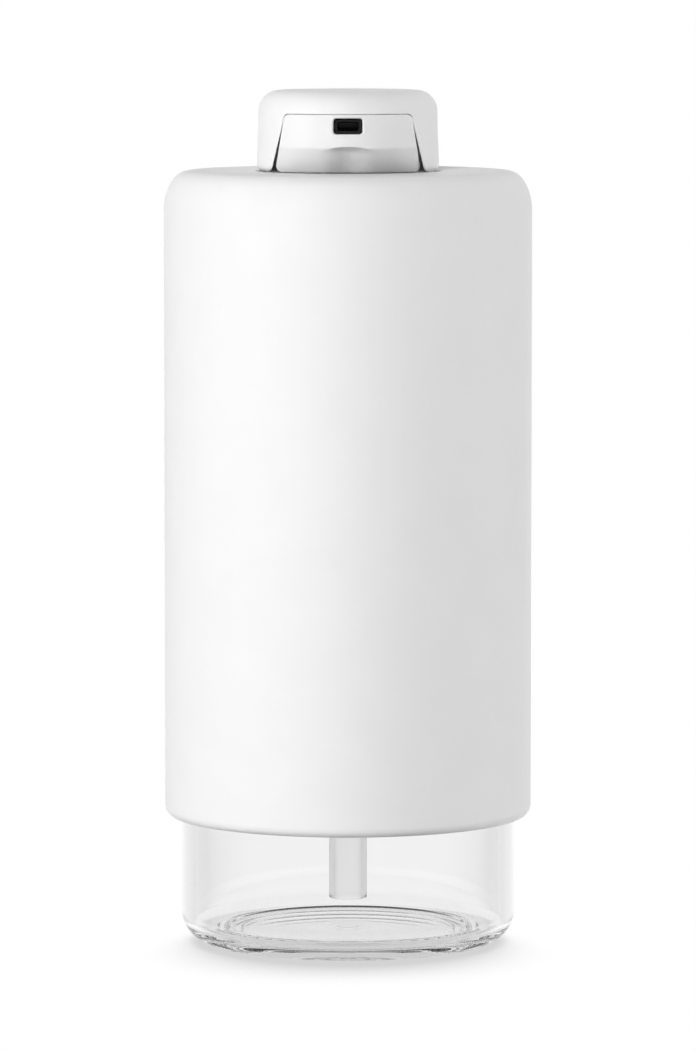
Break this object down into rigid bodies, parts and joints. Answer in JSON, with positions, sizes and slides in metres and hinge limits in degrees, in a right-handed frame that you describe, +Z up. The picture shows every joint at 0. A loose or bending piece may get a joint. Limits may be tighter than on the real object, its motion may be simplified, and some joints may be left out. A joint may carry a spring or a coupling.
{
  "type": "detergent dispenser bottle",
  "caption": "Counter-top pump dispenser: clear round bottle in a white coated sleeve, with a round press head and a front outlet, for liquid detergent or soap.",
  "frame": {"origin": "centre of the bottle's foot, on the surface that it stands on", "axes": "+Z up along the bottle's axis, the outlet faces -Y, +X to the viewer's right"},
  "size_m": [0.071, 0.071, 0.1651],
  "materials": {
    "clear_glass": "clear, polished",
    "coated_steel": "white powder coat with a fine mineral grain",
    "grained_plastic": "white, fine grain",
    "satin_plastic": "white, smooth satin",
    "white_moulding": "white, as moulded",
    "natural_moulding": "natural, as moulded",
    "milky_tube": "translucent, extruded",
    "dark_plastic": "near black",
    "seal_rubber": "soft, matt",
    "spring_steel": "bright wire"
  },
  "bodies": {
    "bottle": {"bottle": "clear_glass"},
    "pump": {"pump_housing": "natural_moulding", "chaplet": "white_moulding", "neck_gasket": "seal_rubber", "spring_seat": "natural_moulding", "dip_tube": "milky_tube", "return_spring": "spring_steel"},
    "cap": {"screw_cap": "white_moulding", "sleeve": "coated_steel", "sleeve_liner": "white_moulding"},
    "stem": {"stem": "natural_moulding", "stem_valve": "natural_moulding"},
    "head": {"hood": "grained_plastic", "actuator": "white_moulding", "spout": "satin_plastic", "nozzle": "dark_plastic"},
    "piston": {"piston": "natural_moulding"},
    "ball": {"inlet_ball": "spring_steel"}
  },
  "joints": [
    {"name": "top_lift", "type": "slide", "parent": "bottle", "child": "pump", "axis": [0, 0, 1], "range_m": [0, 0.135]},
    {"name": "sleeve_twist", "type": "hinge", "parent": "pump", "child": "cap", "pos_m": [0, 0, 0.13], "axis": [0, 0, 1], "range_deg": [0, 540]},
    {"name": "head_press", "type": "slide", "parent": "pump", "child": "stem", "axis": [0, 0, -1], "range_m": [0, 0.0065], "stiffness_N_per_m": 900, "springref_m": -0.005, "deforming": ["return_spring"]},
    {"name": "head_swivel", "type": "hinge", "parent": "stem", "child": "head", "pos_m": [0, 0, 0.155], "axis": [0, 0, 1], "continuous": true},
    {"name": "piston_follow", "type": "slide", "parent": "pump", "child": "piston", "axis": [0, 0, -1], "range_m": [0, 0.0055]},
    {"name": "ball_lift", "type": "slide", "parent": "pump", "child": "ball", "axis": [0, 0, 1], "range_m": [0, 0.0012]}
  ],
  "couplings": [
    {"joint": "piston_follow", "follows": "head_press", "ratio": 0.8461}
  ]
}
